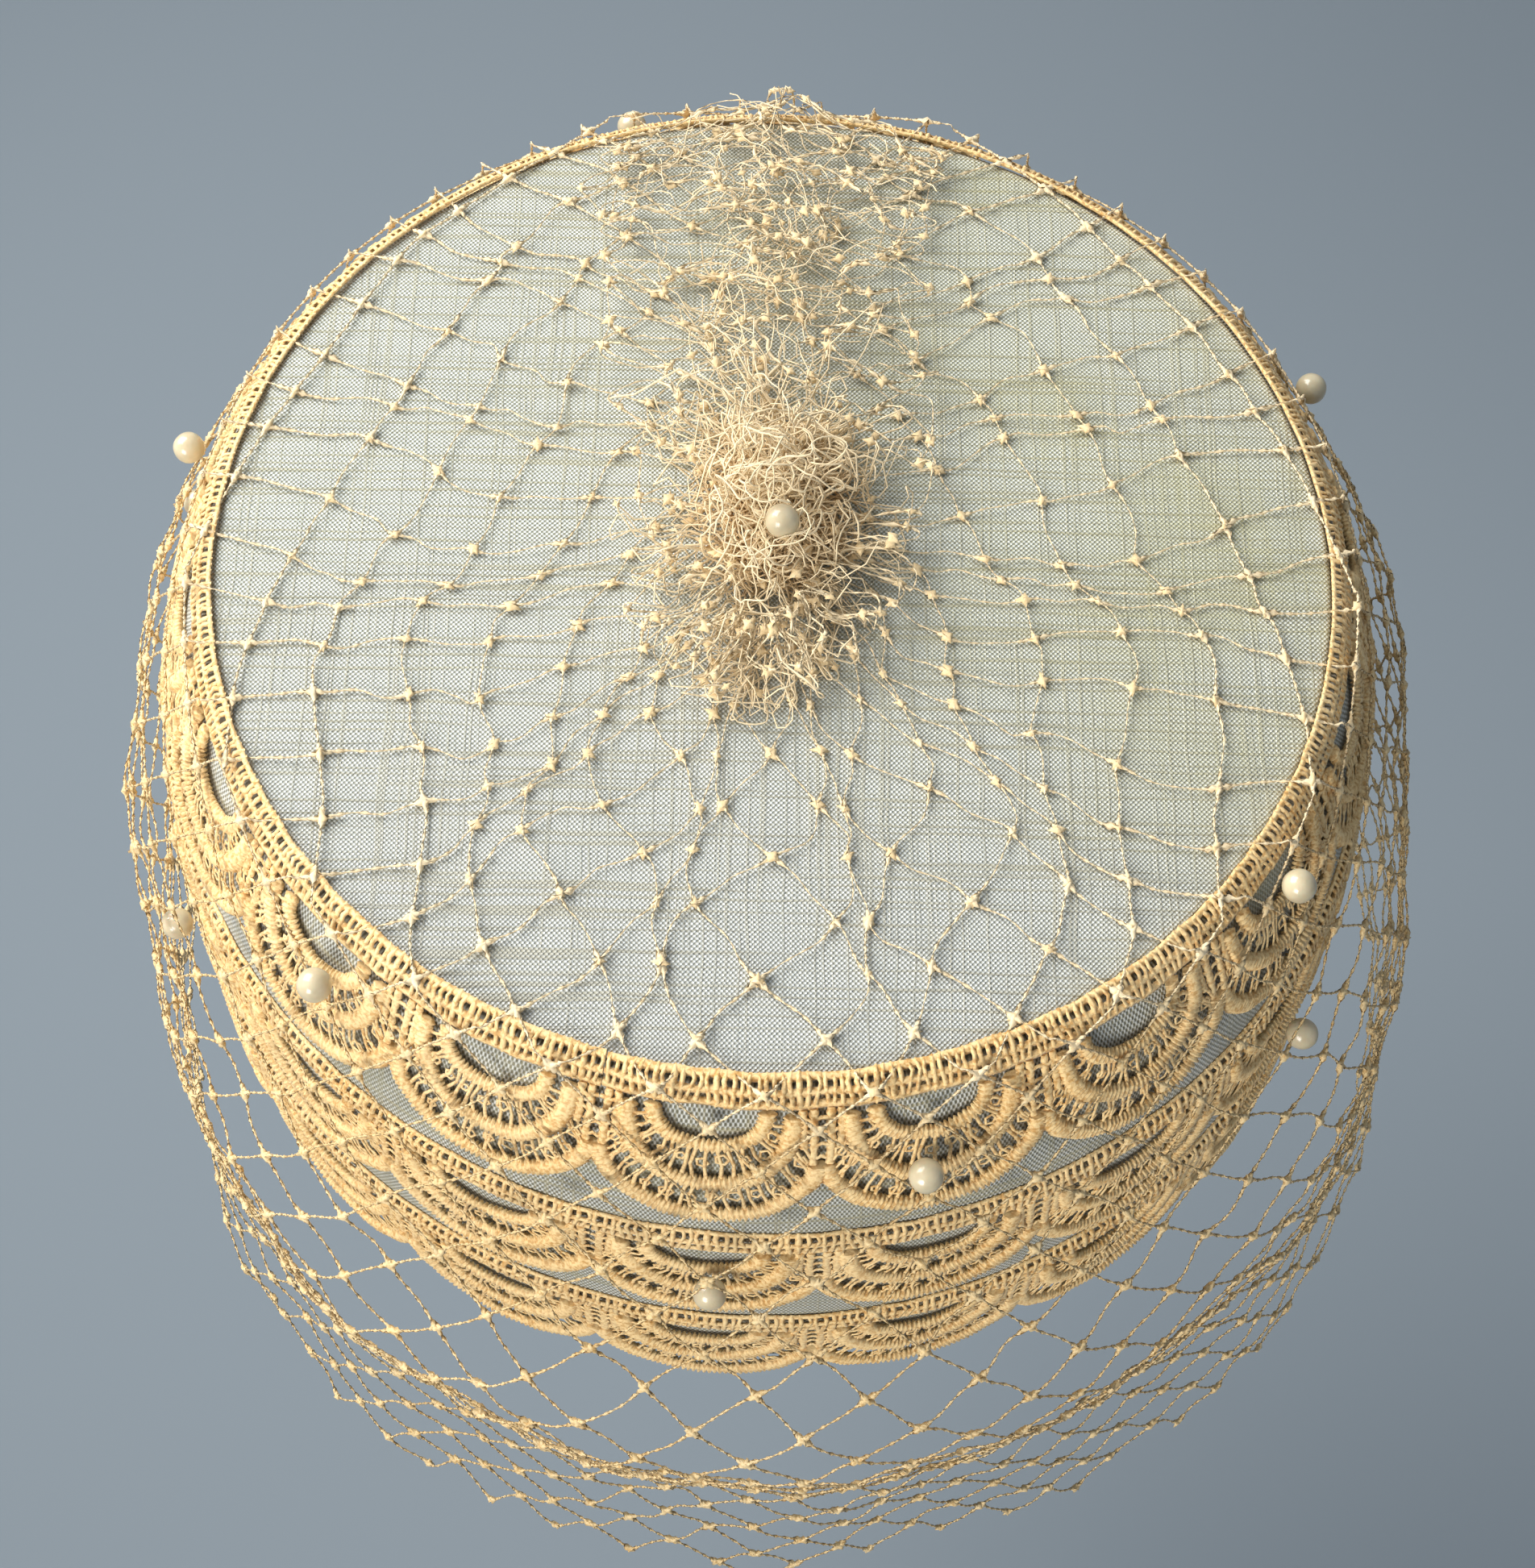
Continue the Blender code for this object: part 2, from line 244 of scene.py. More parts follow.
def weave(wiring, across, along, ground, thread, gap_shade):
    """A plain weave with slubs: colour and bump from a place across and along the cloth. The threads' tops
    are painted pale as painted highlights, and the gaps between them dark as painted shade.
    """
    wobble = wiring.speckle(across, along, 0.0, (60.0, 60.0, 1.0))
    shift = wiring.times(wiring.math("SUBTRACT", wobble, 0.5), THREAD_WOBBLE)
    across = wiring.total(across, shift)
    along = wiring.total(along, wiring.times(shift, 0.7))
    over = wiring.math("SINE", wiring.times(across, pi / THREAD_ACROSS))
    under = wiring.math("SINE", wiring.times(along, pi / THREAD_ALONG))
    cross = wiring.times(over, under)
    lies_over = wiring.ramp(cross, -0.75, 0.65)
    rows = wiring.ramp(wiring.speckle(across, along, 0.0, (16.0, 1500.0, 1.0), 1.0), 0.52, 0.66)
    columns = wiring.ramp(wiring.speckle(across, along, 3.0, (1700.0, 14.0, 1.0), 1.0), 0.54, 0.68)
    slub = wiring.math("MAXIMUM", rows, wiring.times(columns, 0.7))
    cloth = wiring.blend(lies_over, gap_shade, thread)
    cloth = wiring.blend(0.12, cloth, ground)
    cloth = wiring.blend(wiring.times(slub, 0.55), cloth, SLUB)
    height = wiring.total(lies_over, wiring.times(slub, 0.6))
    return cloth, height


def silk_finish(wiring):
    """The sheen of raw silk."""
    shader = wiring.shader
    shader.inputs["Sheen Weight"].default_value = 0.25
    shader.inputs["Sheen Roughness"].default_value = 0.4
    shader.inputs["Specular IOR Level"].default_value = 0.45
    shader.inputs["Anisotropic"].default_value = 0.35


def crown_silk():
    """The crown's silk, stained at the back."""
    wiring = Wiring("crown_silk", SILK_LIT, 0.44)
    x, y, z = wiring.place()
    backward = wiring.ramp(wiring.total(wiring.times(y, 0.55), wiring.times(x, 0.9)), -0.035, 0.090)
    patches = wiring.ramp(wiring.speckle(x, y, z, (26.0, 30.0, 1.0), 3.0), 0.38, 0.66)
    streaks = wiring.ramp(wiring.speckle(x, y, z, (34.0, 900.0, 1.0), 2.0), 0.35, 0.75)
    upright = wiring.ramp(wiring.speckle(x, y, z, (800.0, 30.0, 1.0), 2.0), 0.40, 0.75)
    stained = wiring.times(backward, wiring.total(0.35, wiring.times(patches, 0.65)))
    streaked = wiring.total(0.55, wiring.times(wiring.math("MAXIMUM", streaks, upright), 0.45))
    stained = wiring.times(stained, streaked)
    cloth, height = weave(wiring, x, y, SILK_LIT, SILK_THREAD_HIGHLIGHT, SILK_GAP_SHADE)
    # Painted sheen: the front of the crown is painted cool grey-blue, standing in for a reflection.
    front_sheen_mask = wiring.ramp(y, 0.02, -0.075)
    cloth = wiring.blend(wiring.times(front_sheen_mask, 0.26), cloth, FRONT_SHEEN_PAINT)
    cloth = wiring.blend(wiring.times(stained, 0.80), cloth, STAIN)
    wiring.feed(wiring.shader.inputs["Base Color"], cloth)
    wiring.bump(height, 0.00022)
    silk_finish(wiring)
    return wiring.material


def add_piece(name, mesh, material):
    """An object in the scene for a mesh that wears one material."""
    mesh.materials.clear()
    mesh.materials.append(material)
    piece = bpy.data.objects.new(name, mesh)
    bpy.context.scene.collection.objects.link(piece)
    return piece

def shell_piece(name, profile, material):
    """A closed body turned round the hat's axis from a profile of (radius, height) points."""
    shape = bmesh.new()
    points = [shape.verts.new((radius, 0.0, height)) for radius, height in profile]
    edges = [shape.edges.new((one, other)) for one, other in zip(points, points[1:])]
    bmesh.ops.spin(shape, geom=points + edges, cent=(0, 0, 0), axis=(0, 0, 1), angle=tau,
                   steps=ROUND_STEPS, use_merge=True)
    bmesh.ops.remove_doubles(shape, verts=shape.verts, dist=MERGE_REACH)
    bmesh.ops.recalc_face_normals(shape, faces=shape.faces)
    mesh = bpy.data.meshes.new(name)
    shape.to_mesh(mesh)
    shape.free()
    mesh.shade_smooth()
    return add_piece(name, mesh, material)


def crown_profile():
    """The disc's outline from the middle of its top, round its edge, to the middle below."""
    edge_height = CROWN_TOP - CROWN_DOME
    under = crown_low.z
    reach = CROWN_RADIUS - EDGE_ROLL
    shares = (0.0, 0.2, 0.4, 0.6, 0.8, 0.9)
    top = [(reach * share, edge_height + CROWN_DOME * (1.0 - share ** 2)) for share in shares]
    roll = []
    for step in range(ROLL_STEPS + 1):
        turn = pi / 2.0 * step / ROLL_STEPS
        roll.append((reach + EDGE_ROLL * sin(turn), edge_height - EDGE_ROLL * (1.0 - cos(turn))))
    return top + roll + [(CROWN_RADIUS, under), (0.0, under)]


crown_cloth = shell_piece("crown_cloth", crown_profile(), crown_silk())
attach(crown_cloth, "root")
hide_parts("crown_tip")


# The silk over the side band.
# The same silk, glued round a buckram wall that flares out below the crown and then drops almost
# straight to the head opening. Its colours are painted greyer and darker than the crown's, as painted
# shade from the lace.
FLARE_DEPTH = 0.021
BAND_DEPTH = CROWN_TOP - CROWN_DOME
BAND_FLARE = (band_high.x - CROWN_RADIUS) / (1.0 - exp(-BAND_DEPTH / FLARE_DEPTH))
BAND_WALL = 0.002
BAND_ROWS = 22
SEAM_DEPTH = BAND_DEPTH - band_high.z
# Painted shade: the band's ground colour is a darker, greyer copy of the crown's.
SILK_SHADE = (0.38, 0.39, 0.34)
# Painted light: a painted highlight on the threads' tops and painted shade in the gaps between them.
BAND_THREAD_HIGHLIGHT = (0.74, 0.76, 0.72)
BAND_GAP_SHADE = (0.13, 0.12, 0.07)
BAND_WORN = (0.34, 0.33, 0.20)
WEAVE_RADIUS = 0.0925
WEAVE_STRETCH = 0.55


def side_radius(depth):
    """The band's outer radius at a depth below the crown's edge."""
    return CROWN_RADIUS + BAND_FLARE * (1.0 - exp(-depth / FLARE_DEPTH))


def side_slope(depth):
    """How fast the band's radius grows with depth."""
    return BAND_FLARE / FLARE_DEPTH * exp(-depth / FLARE_DEPTH)


def on_side(turn, depth, lift):
    """A point over the band: its turn from the front, its depth and its distance from the silk."""
    slope = side_slope(depth)
    length = sqrt(1.0 + slope ** 2)
    radius = side_radius(depth) + lift / length
    height = BAND_DEPTH - depth + lift * slope / length
    return Vector((radius * sin(turn), -radius * cos(turn), height))


def band_silk():
    """The band's silk, woven round and down."""
    # Painted shade: the whole band is coloured darker and greyer than the crown, for the lace's shade.
    wiring = Wiring("band_silk", SILK_SHADE, 0.46)
    x, y, z = wiring.place()
    round_the_band = wiring.times(wiring.math("ARCTAN2", x, wiring.times(y, -1.0)), WEAVE_RADIUS)
    down = wiring.times(z, WEAVE_STRETCH)
    cloth, height = weave(wiring, round_the_band, down, SILK_SHADE, BAND_THREAD_HIGHLIGHT, BAND_GAP_SHADE)
    worn = wiring.ramp(wiring.speckle(x, y, z, (30.0, 30.0, 60.0), 3.0), 0.45, 0.75)
    cloth = wiring.blend(wiring.times(worn, 0.35), cloth, BAND_WORN)
    wiring.feed(wiring.shader.inputs["Base Color"], cloth)
    wiring.bump(height, 0.00016)
    silk_finish(wiring)
    return wiring.material


def band_profile():
    """The wall's outline, down its outer side and up its inner side."""
    shares = [(row / BAND_ROWS) ** 1.3 for row in range(BAND_ROWS + 1)]
    depths = [SEAM_DEPTH + (BAND_DEPTH - SEAM_DEPTH) * share for share in shares]
    outer = [(side_radius(depth), BAND_DEPTH - depth) for depth in depths]
    inner = [(radius - BAND_WALL, height) for radius, height in reversed(outer)]
    return outer + inner + outer[:1]


band_cloth = shell_piece("band_cloth", band_profile(), band_silk())
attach(band_cloth, "root")
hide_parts("side_band")


# The three tiers of lace.
# Corded cotton lace in a golden beige: a ladder-stitched header, and scallops of three satin-stitched
# arcs joined by looped bars. Each tier is one strip, made flat and then laid round the band.
SCALLOPS = 18
FRONT_SCALLOP_TURN = radians(-4.8)
LACE_DROP = 0.0255
TIER_PITCH = 0.0325
FIRST_HEADER_DEPTH = 0.001
LACE_STANDOFF = 0.0008
PITCH = tau * side_radius(0.012) / SCALLOPS
SATIN_HEIGHT = 0.60
RIB_PITCH = 0.00074
RIB_SHAPE = (0.58, 1.05, 0.97)
BAR_RADIUS = 0.00027
HEADER_LINES = (-0.046, 0.022, 0.090)
LADDER_PITCH = 0.00115
HEADER_CORD = 0.00062
LADDER_RADIUS = 0.00040
SIDE_MESH_RADIUS = 0.00034
POST_RADIUS = 0.00072
POST_POINTS = 14
BAR_SPREAD = radians(172.0)
BAR_LIFT = 0.0004
LACE_WANDER = 0.00030
LACE_LIGHT = (0.96, 0.70, 0.34)
LACE_DARK = (0.62, 0.34, 0.10)
# Painted shade for the lace's hollows.
LACE_HOLLOW_SHADE = (0.36, 0.17, 0.04)
LACE_WORN = (0.90, 0.72, 0.42)
# One fixed seed, so that the threads wander the same way in each run.
NOISE_SEED = 4
noise.seed_set(NOISE_SEED)

# The satin arcs of a scallop. Columns: half its width as a share of the pitch, the drop at its ends
# and at its middle as shares of the lace's drop, its thread's radius, and its squareness.
SATIN_ARCS = (
    (0.255, 0.130, 0.355, 0.00132, 0.85),
    (0.372, 0.150, 0.655, 0.00148, 0.95),
    (0.482, 0.480, 0.940, 0.00155, 1.20),
)
# The rows of looped bars between the arcs. Columns: the arc above, the arc below, how many bars.
BAR_ROWS = ((0, 1, 19), (1, 2, 25))


def lace_thread():
    """Cotton thread with a soft lustre, and painted shade in its hollows."""
    wiring = Wiring("lace_thread", LACE_LIGHT, 0.62)
    x, y, z = wiring.place()
    fibres = wiring.speckle(x, y, z, (1600.0, 1600.0, 1600.0), 2.0)
    patches = wiring.ramp(wiring.speckle(x, y, z, (70.0, 70.0, 70.0), 2.0), 0.35, 0.70)
    colour = wiring.blend(wiring.ramp(fibres, 0.30, 0.62), LACE_DARK, LACE_LIGHT)
    colour = wiring.blend(wiring.times(patches, 0.30), colour, LACE_WORN)
    # Painted shade: where the pointiness shows a hollow, the colour is darkened.
    bulge = wiring.add("ShaderNodeNewGeometry").outputs["Pointiness"]
    colour = wiring.blend(wiring.times(wiring.ramp(bulge, 0.52, 0.40), 0.75), colour, LACE_HOLLOW_SHADE)
    wiring.feed(wiring.shader.inputs["Base Color"], colour)
    wiring.bump(fibres, 0.00012, 0.8)
    wiring.shader.inputs["Sheen Weight"].default_value = 0.12
    wiring.shader.inputs["Sheen Roughness"].default_value = 0.5
    wiring.shader.inputs["Specular IOR Level"].default_value = 0.4
    return wiring.material


def thread_curve(name, sides):
    """An empty curve that is given thickness: a round thread of a few sides."""
    curve = bpy.data.curves.new(name, "CURVE")
    curve.dimensions = "3D"
    curve.fill_mode = "FULL"
    curve.bevel_depth = 1.0
    curve.bevel_resolution = (sides - 4) // 2
    curve.twist_mode = "MINIMUM"
    curve.use_fill_caps = True
    return curve


def add_thread(curve, points, radii, closed=False):
    """One thread through points, with a radius at each."""
    spline = curve.splines.new("POLY")
    spline.points.add(len(points) - 1)
    spline.points.foreach_set("co", np.array([(*point, 1.0) for point in points], "f").ravel())
    spline.points.foreach_set("radius", np.array(radii, "f"))
    spline.use_cyclic_u = closed


def mesh_from(curve):
    """The curve's surface as a mesh; the curve is dropped."""
    holder = bpy.data.objects.new("threads", curve)
    bpy.context.scene.collection.objects.link(holder)
    graph = bpy.context.evaluated_depsgraph_get()
    mesh = bpy.data.meshes.new_from_object(holder.evaluated_get(graph))
    bpy.data.objects.remove(holder)
    bpy.data.curves.remove(curve)
    return mesh


def arc_place(arc, angle):
    """A point of a satin arc, flat: x across the scallop, y down."""
    half, end, middle, _, squareness = SATIN_ARCS[arc]
    drop = end + (middle - end) * cos(angle) ** squareness
    return half * PITCH * sin(angle), drop * LACE_DROP


def satin_threads(curve):
    """The ribbed satin arcs of one scallop."""
    for arc, (_, _, _, thickness, _) in enumerate(SATIN_ARCS):
        samples = [arc_place(arc, pi * (step / 60.0 - 0.5)) for step in range(61)]
        runs = [0.0]
        for (x0, y0), (x1, y1) in zip(samples, samples[1:]):
            runs.append(runs[-1] + hypot(x1 - x0, y1 - y0))
        count = len(RIB_SHAPE) * round(runs[-1] / RIB_PITCH)
        wanted = np.linspace(0.0, runs[-1], count)
        xs = np.interp(wanted, runs, [x for x, _ in samples])
        ys = np.interp(wanted, runs, [y for _, y in samples])
        points = [(x, -y, 0.35 * thickness) for x, y in zip(xs, ys)]
        uneven = Random(arc + 11)
        ribs = (RIB_SHAPE * count)[:count]
        radii = [thickness * rib * uneven.uniform(0.94, 1.06) for rib in ribs]
        add_thread(curve, points, radii)


def looped_bars(curve):
    """The fuzzy bars that join one arc to the next, and stray loops beside them."""
    chance = Random(5)
    for above, below, count in BAR_ROWS:
        for step in range(count):
            angle = BAR_SPREAD * ((step + 0.5) / count - 0.5)
            x0, y0 = arc_place(above, angle * 0.97)
            x1, y1 = arc_place(below, angle * 1.02)
            lean = chance.uniform(-0.0009, 0.0009)
            middle = ((x0 + x1) / 2.0 + lean, -(y0 + y1) / 2.0, 0.0006 + chance.uniform(0, 0.0004))
            points = ((x0, -y0, BAR_LIFT), middle, (x1, -y1, BAR_LIFT))
            add_thread(curve, points, (BAR_RADIUS * 1.3, BAR_RADIUS, BAR_RADIUS * 1.3))
        for step in range(0, count - 1, 2):
            angle = BAR_SPREAD * ((step + 1.0) / count - 0.5)
            x0, y0 = arc_place(above, angle - 0.05)
            x1, y1 = arc_place(below, angle + 0.05)
            share = chance.uniform(0.35, 0.65)
            x, y = x0 + (x1 - x0) * share, y0 + (y1 - y0) * share
            reach = chance.uniform(0.0006, 0.0011)
            ring = [(x + reach * cos(tau * k / 5), -y + reach * sin(tau * k / 5), 0.0006) for k in range(5)]
            add_thread(curve, ring, [BAR_RADIUS] * 5, closed=True)


def header_threads(curve):
    """The straight top: cords with ladder stitches over them, and the mesh between the scallops."""
    chance = Random(7)
    for line, share in enumerate(HEADER_LINES):
        xs = np.linspace(-0.5 * PITCH, 0.5 * PITCH, 13)
        height = -0.0009 if line == 0 else 0.0003
        points = [(x, -share * LACE_DROP + 0.00006 * sin(900.0 * x + line), height) for x in xs]
        add_thread(curve, points, [HEADER_CORD] * len(points))
    steps = round(PITCH / LADDER_PITCH)
    top, low = HEADER_LINES[0] * LACE_DROP, HEADER_LINES[-1] * LACE_DROP
    for step in range(steps):
        x = (step + 0.5) / steps * PITCH - 0.5 * PITCH
        lean = chance.uniform(-0.0005, 0.0005)
        points = ((x, -top + 0.0004, -0.0012), (x + lean, -top - 0.0005, 0.0004),
                  (x - lean, -low + 0.0004, 0.0010), (x, -low - 0.0004, 0.0001))
        add_thread(curve, points, [LADDER_RADIUS * chance.uniform(0.75, 1.20)] * 4)
    for side in (-1.0, 1.0):
        for row in range(4):
            share = 0.15 + 0.085 * row
            x0 = side * (0.395 + 0.022 * row) * PITCH
            x1 = side * 0.5 * PITCH
            points = ((x0, -share * LACE_DROP, 0.0004), ((x0 + x1) / 2, -(share + 0.02) * LACE_DROP, 0.0008),
                      (x1, -(share + 0.01) * LACE_DROP, 0.0005))
            add_thread(curve, points, [SIDE_MESH_RADIUS] * 3)


def post_threads(curve):
    """The upright satin posts where two scallops meet, below the header."""
    for side in (-1.0, 1.0):
        for place, low in ((0.462, 0.47), (0.415, 0.36)):
            points = []
            for step in range(POST_POINTS):
                share = step / (POST_POINTS - 1)
                drop = 0.11 + (low - 0.11) * share
                points.append((side * place * PITCH, -drop * LACE_DROP, 0.0004))
            radii = [POST_RADIUS * (1.0 if step % 2 else 0.74) for step in range(POST_POINTS)]
            add_thread(curve, points, radii)


def flat_scallop():
    """One scallop of lace, lying flat: satin arcs of six sides and thin threads of four."""
    satin = thread_curve("satin", 6)
    satin_threads(satin)
    post_threads(satin)
    thin = thread_curve("bars", 4)
    looped_bars(thin)
    header_threads(thin)
    shape = bmesh.new()
    for curve in (satin, thin):
        shape.from_mesh(mesh_from(curve))
    bmesh.ops.scale(shape, vec=(1.0, 1.0, SATIN_HEIGHT), verts=shape.verts)
    mesh = bpy.data.meshes.new("flat_scallop")
    shape.to_mesh(mesh)
    shape.free()
    return mesh


def lace_tier(name, scallop, header_depth, seed, material):
    """A strip of scallops in a row, laid round the band with its header at a depth."""
    strip = bpy.data.objects.new(name, scallop.copy())
    bpy.context.scene.collection.objects.link(strip)
    row = strip.modifiers.new("row", "ARRAY")
    row.count = SCALLOPS
    row.use_relative_offset = False
    row.use_constant_offset = True
    row.constant_offset_displace = (PITCH, 0.0, 0.0)
    graph = bpy.context.evaluated_depsgraph_get()
    mesh = bpy.data.meshes.new_from_object(strip.evaluated_get(graph))
    bpy.data.objects.remove(strip)
    corners = np.empty(len(mesh.vertices) * 3, "f")
    mesh.vertices.foreach_get("co", corners)
    laid = []
    for x, y, z in corners.reshape(-1, 3):
        drift = noise.noise_vector((x * 260.0 + seed, y * 260.0, seed)) * LACE_WANDER
        turn = FRONT_SCALLOP_TURN + (x + drift.x) / PITCH * tau / SCALLOPS
        laid.append(on_side(turn, header_depth - y + drift.y, LACE_STANDOFF + z + drift.z * 0.5))
    mesh.vertices.foreach_set("co", np.array(laid, "f").ravel())
    mesh.name = name
    mesh.shade_smooth()
    return add_piece(name, mesh, material)


lace_cotton = lace_thread()
scallop = flat_scallop()
for count, tier in enumerate(("top", "middle", "bottom")):
    depth = FIRST_HEADER_DEPTH + count * TIER_PITCH
    strip = lace_tier(f"corded_lace_{tier}", scallop, depth, count, lace_cotton)
    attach(strip, "root")
    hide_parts(f"lace_{tier}")


# The dark olive lines above the two lower tiers of lace.
# A thin dark olive line, built as a fine thread, along the top of each of their headers.
OLIVE_LINE_RADIUS = 0.00011
OLIVE_LINE_STEPS = 360
OLIVE_LINE_RISE = 0.0007


def olive_line_colour():
    """Dark olive colour with a fine twisted grain."""
    wiring = Wiring("olive_line_colour", (0.10, 0.11, 0.05), 0.7)
    x, y, z = wiring.place()
    twist = wiring.speckle(x, y, z, (2400.0, 2400.0, 2400.0))
    colour = wiring.blend(twist, (0.06, 0.07, 0.03), (0.20, 0.20, 0.10))
    wiring.feed(wiring.shader.inputs["Base Color"], colour)
    wiring.bump(twist, 0.0001)
    return wiring.material


def olive_lines():
    """The dark olive lines of the two lower tiers, as one mesh."""
    curve = thread_curve("seams", 4)
    for tier in (1, 2):
        depth = FIRST_HEADER_DEPTH + tier * TIER_PITCH - OLIVE_LINE_RISE
        points = []
        for step in range(OLIVE_LINE_STEPS):
            lift = 0.00012 + 0.00010 * sin(tau * step / 4.0)
            points.append(on_side(tau * step / OLIVE_LINE_STEPS, depth, lift))
        add_thread(curve, points, [OLIVE_LINE_RADIUS] * OLIVE_LINE_STEPS, closed=True)
    return add_piece("lace_olive_lines", mesh_from(curve), olive_line_colour())


lace_olive_lines = olive_lines()
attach(lace_olive_lines, "root")


# The pearls.
# Ivory imitation pearls with a soft lustre, sewn through the lace one by one, and one in the bunch
# of net at the middle of the crown.
PEARL_IVORY = (0.64, 0.54, 0.35)
PEARL_DARK = (0.52, 0.43, 0.26)
PEARL_PALE = (0.73, 0.64, 0.45)


def pearl_lustre():
    """Nacre: a warm body under a clear, slightly uneven coat."""
    wiring = Wiring("pearl_lustre", PEARL_IVORY, 0.30)
    x, y, z = wiring.place()
    bands = wiring.speckle(x, y, z, (420.0, 420.0, 700.0), 2.0)
    colour = wiring.blend(bands, PEARL_DARK, PEARL_PALE)
    wiring.feed(wiring.shader.inputs["Base Color"], colour)
    wiring.bump(wiring.speckle(x, y, z, (1100.0, 1100.0, 1100.0), 2.0), 0.00008, 0.5)
    wiring.shader.inputs["Coat Weight"].default_value = 0.6
    wiring.shader.inputs["Coat Roughness"].default_value = 0.12
    wiring.shader.inputs["Subsurface Weight"].default_value = 0.15
    wiring.shader.inputs["Subsurface Scale"].default_value = 0.001
    return wiring.material


def pearl_bead(node, material):
    """A smooth, faintly uneven bead in place of a plain one."""
    low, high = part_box(node)
    shape = bmesh.new()
    bmesh.ops.create_uvsphere(shape, u_segments=28, v_segments=16, radius=(high.z - low.z) / 2.0)
    for corner in shape.verts:
        corner.co *= 1.0 + 0.03 * noise.noise(corner.co * 500.0 + low * 90.0)
    bmesh.ops.translate(shape, vec=(low + high) / 2.0, verts=shape.verts)
    name = node.replace("pearl", "sewn_pearl")
    mesh = bpy.data.meshes.new(name)
    shape.to_mesh(mesh)
    shape.free()
    mesh.shade_smooth()
    piece = add_piece(name, mesh, material)
    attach(piece, "root")
    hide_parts(node)


nacre = pearl_lustre()
for node in sorted(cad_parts):
    if node.startswith("pearl_"):
        pearl_bead(node, nacre)


# The net veil.
# A strip of cream veiling with a diamond mesh, knotted where its twisted strands cross. Its top edge
# is drawn together at the crown's middle and along the line from there to the back, and the rest
# falls over the crown's edge. The lattice is laid out flat, as a sector of a ring, and then draped.
veil_low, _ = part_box("veil")
MESH_HALF_ACROSS = 0.0082
MESH_HALF_DOWN = 0.0062
CONE_SHARE = 0.30
FLAT_RIM = 0.324
CROWN_STRETCH = 1.35
RIM_RADIUS = CROWN_RADIUS + 0.0032
NET_LIFT = 0.0005
NET_SPARE = 0.026
VEIL_REACH = 0.040
VEIL_DROP = CROWN_TOP - veil_low.z + 0.0012
CROWN_RUN = (RIM_RADIUS + NET_SPARE) / CROWN_STRETCH
HALF_TURN = radians(180.0)
END_OVERLAP = radians(7.0)
STEPS_A_SIDE = 13
CROWN_STRAND = 0.00012
SKIRT_STRAND = 0.00021
TWIST_A_STEP = radians(71.0)
CROWN_SWELL = 2.3
SKIRT_SWELL = 1.8
KNOT_REACH = 0.0013
KNOT_SIZE = np.array((0.00096, 0.00070, 0.00034))
KNOT_STAR = 0.30
KNOT_RAGGED = 0.16
KNOT_WAVES = np.array((5.0, 7.0, 6.0))
KNOT_TILT = 0.35
SLACK_WRINKLE = 0.0042
TAUT_WRINKLE = 0.0016
CROWN_DRIFT = 0.0050
PLEAT_DEPTH = 0.075
GATHER_FRONT = -0.013
NET_LIGHT = (0.80, 0.60, 0.31)
NET_DARK = (0.58, 0.36, 0.13)
# Painted light: paler colours for the net and its knots where they lie high, over the crown.
NET_PAINTED_LIGHT = (0.90, 0.77, 0.54)
KNOT_PAINTED_LIGHT = (0.86, 0.66, 0.38)
# Painted shade for the net deep in the bunch.
NET_DEEP_SHADE = (0.70, 0.42, 0.15)
NET_WORN = (0.84, 0.70, 0.44)

# The skirt from the crown's edge to the hem. Columns: its drop as a share of VEIL_DROP, then how far it
# stands out past the crown at the front, right, back and left, as shares of VEIL_REACH.
SKIRT_SECTIONS = np.array((
    (0.000, 0.080, 0.080, 0.080, 0.080),
    (0.142, 0.345, 0.335, 0.330, 0.325),
    (0.284, 0.650, 0.530, 0.490, 0.490),
    (0.426, 0.945, 0.640, 0.560, 0.530),
    (0.568, 0.875, 0.750, 0.610, 0.575),
    (0.710, 0.790, 0.850, 0.665, 0.630),
    (0.851, 0.825, 0.930, 0.715, 0.680),
    (1.000, 0.930, 0.990, 0.760, 0.730),
))


def smooth_read(table, column, share):
    """A table's column read at a share, rounded between its rows."""
    row = min(len(table) - 2, max(0, int(np.searchsorted(table[:, 0], share)) - 1))
    before, start = table[max(0, row - 1)], table[row]
    end, after = table[row + 1], table[min(len(table) - 1, row + 2)]
    part = (share - start[0]) / (end[0] - start[0])
    slope_in, slope_out = (end[column] - before[column]) / 2.0, (after[column] - start[column]) / 2.0
    two, three = part * part, part * part * part
    return ((2 * three - 3 * two + 1) * start[column] + (three - 2 * two + part) * slope_in
            + (-2 * three + 3 * two) * end[column] + (three - two) * slope_out)


SKIRT_STEPS = 120
SKIRT_READ = np.array([[smooth_read(SKIRT_SECTIONS, column, step / SKIRT_STEPS) for column in (1, 2, 3, 4)]
                       for step in range(SKIRT_STEPS + 1)])


def skirt_place(turn, run):
    """A point of the skirt, at a run below the crown's edge."""
    share = min(1.0, run / VEIL_DROP)
    low_step = min(SKIRT_STEPS - 1, int(share * SKIRT_STEPS))
    part = share * SKIRT_STEPS - low_step
    front, right, back, left = SKIRT_READ[low_step] * (1.0 - part) + SKIRT_READ[low_step + 1] * part
    along = front if cos(turn) > 0.0 else back
    beside = right if sin(turn) > 0.0 else left
    reach = VEIL_REACH * (along * cos(turn) ** 2 + beside * sin(turn) ** 2)
    wave = 0.0010 * share * sin(7.0 * turn + 1.3) + 0.0006 * share * sin(17.0 * turn)
    radius = CROWN_RADIUS + reach - 0.0010 * share + wave
    return Vector((radius * sin(turn), -radius * cos(turn), CROWN_TOP + NET_LIFT - share * VEIL_DROP))


